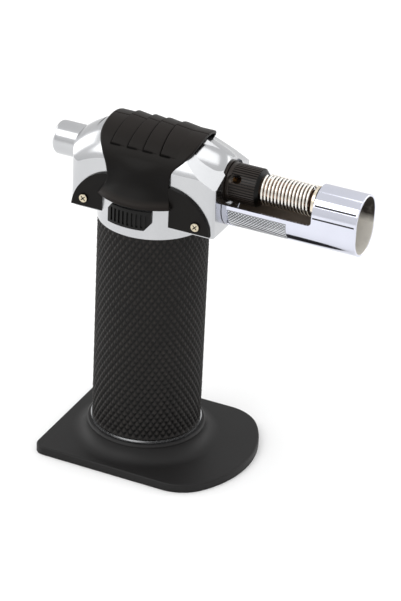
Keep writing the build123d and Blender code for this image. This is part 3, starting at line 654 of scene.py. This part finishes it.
def makeGuardLines():
    # black strips laid in the two lines on each side of the tip, slightly domed, as painted shade and dark
    # reflection
    section = [(-0.5, 0.0), (-0.5, 0.6), (-0.25, 0.9), (0.0, 1.0), (0.25, 0.9), (0.5, 0.6), (0.5, 0.0)]
    stations = np.linspace(guard["lineX"][0], guard["lineX"][1], guard["lineStations"])
    points, faces = [], []
    for side in (-1, 1):
        for height in guard["lineHeights"]:
            start = len(points)
            tilt = math.asin((height - guard["highAxis"]) / guard["radius"])
            wide = guard["lineWide"] / math.cos(tilt)
            for x in stations:
                for w, d in section:
                    bend = tilt + w * wide / guard["radius"]  # the line follows the round of the tip
                    reach = guard["radius"] - guard["lineSunk"] + guard["lineDeep"] * d
                    points.append((x, side * reach * math.cos(bend),
                                   guard["highAxis"] + reach * math.sin(bend)))
            n = len(section)
            loops = []
            for r in range(len(stations) - 1):
                for c in range(n):
                    here, beside = start + r * n, (c + 1) % n
                    loops.append((here + c, here + beside, here + n + beside, here + n + c))
            end = start + (len(stations) - 1) * n
            caps = [tuple(start + c for c in reversed(range(n))), tuple(end + c for c in range(n))]
            faces += [f if side > 0 else f[::-1] for f in loops + caps]
    makePiece("guard_lines", np.array(points) * mm, faces, guardLineShade, "torch")


makeGuardKnurl()
makeGuardLines()
print("flame guard dressed")


def makeFillingSpring():
    spring = bpy.data.objects.new("filling_spring", nodes["refill_valve_spring"].data.copy())
    bpy.context.scene.collection.objects.link(spring)
    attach(spring, "torch")
    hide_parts("refill_valve_spring")
    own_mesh(spring)


makeFillingSpring()
print("filling spring free to shorten")


# the studio: a pale floor, an even white room and four softboxes
studio = {
    "floor": "f4f4f4", "floorHalf": 6.0, "floorDrop": 0.0002,  # m, just under the stand
    "world": "ffffff", "horizon": 0.85, "zenith": 0.92,
}
lightTarget = (0.02, 0, 0.07)
softboxes = {  # place, width, height, watts
    "boxLeft": ((-0.85, 0.0, 0.32), 0.5, 0.7, 2.4),
    "boxRight": ((0.55, 0.65, 0.32), 0.5, 0.7, 1.8),
    "boxKey": ((-0.35, -0.65, 0.8), 0.9, 0.6, 3.4),
    "boxTop": ((0.12, 0.05, 1.0), 0.7, 0.5, 1.25),
}


def makeStudio():
    mesh = bpy.data.meshes.new("floor")
    size = studio["floorHalf"]
    mesh.from_pydata([(-size, -size, 0), (size, -size, 0), (size, size, 0), (-size, size, 0)], [],
                     [(0, 1, 2, 3)])
    floor = bpy.data.objects.new("floor", mesh)
    bpy.context.scene.collection.objects.link(floor)
    floor.location.z = -studio["floorDrop"]
    # painted board, rolled matt: a soft shadow and no reflection
    matt = {"Base Color": hexToLinear(studio["floor"]), "Roughness": 0.9, "Specular IOR Level": 0.2}
    mesh.materials.append(startFinish("paleFloor", matt)[0])
    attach(floor, "base")  # the stand keeps its place on the floor when the torch is pulled off it
    world = bpy.data.worlds.new("studio")
    bpy.context.scene.world = world
    world.use_nodes = True
    tree = world.node_tree
    tree.nodes.clear()
    where = addNode(tree, "TexCoord").outputs["Generated"]
    upward = addNode(tree, "SeparateXYZ", links={0: where}).outputs["Z"]
    fade = {"From Min": -0.1, "From Max": 0.6, "To Min": studio["horizon"], "To Max": studio["zenith"]}
    share = addNode(tree, "MapRange", fade, {"Value": upward})
    sky = addNode(tree, "Background", {"Color": hexToLinear(studio["world"])},
                  {"Strength": share.outputs[0]})
    addNode(tree, "OutputWorld", links={"Surface": sky.outputs[0]})


def addSoftbox(name, place, width, height, watts):
    light = bpy.data.lights.new(name, "AREA")
    light.shape = "RECTANGLE"
    light.size, light.size_y = width, height
    light.energy = watts
    lamp = bpy.data.objects.new(name, light)
    bpy.context.scene.collection.objects.link(lamp)
    lamp.location = place
    lamp.rotation_mode = "QUATERNION"
    lamp.rotation_quaternion = (Vector(lightTarget) - Vector(place)).to_track_quat("-Z", "Y")


makeStudio()
for name, (place, width, height, watts) in softboxes.items():
    addSoftbox(name, place, width, height, watts)

# the camera
view = {
    "azimuth": 24.0, "elevation": 28.7, "roll": 2.8,  # degrees
    "distance": 1.0, "target": (0.0205, 0.0, 0.0652), "lens": 160.8,
}


def makeCamera():
    azimuth, elevation, roll = (math.radians(view[k]) for k in ("azimuth", "elevation", "roll"))
    back = Vector((math.sin(azimuth) * math.cos(elevation), -math.cos(azimuth) * math.cos(elevation),
                   math.sin(elevation)))
    across = Vector((math.cos(azimuth), math.sin(azimuth), 0))
    upward = back.cross(across)
    right = math.cos(roll) * across + math.sin(roll) * upward
    top = -math.sin(roll) * across + math.cos(roll) * upward
    lens = bpy.data.cameras.new("camera")
    lens.lens = view["lens"]
    camera = bpy.data.objects.new("camera", lens)
    bpy.context.scene.collection.objects.link(camera)
    place = Vector(view["target"]) + back * view["distance"]
    camera.matrix_world = Matrix((
        (right.x, top.x, back.x, place.x), (right.y, top.y, back.y, place.y),
        (right.z, top.z, back.z, place.z), (0, 0, 0, 1),
    ))
    lens.clip_start, lens.clip_end = 0.05, 20
    bpy.context.scene.camera = camera


makeCamera()
bpy.context.scene.view_settings.view_transform = "Standard"
print("camera and lights ready")
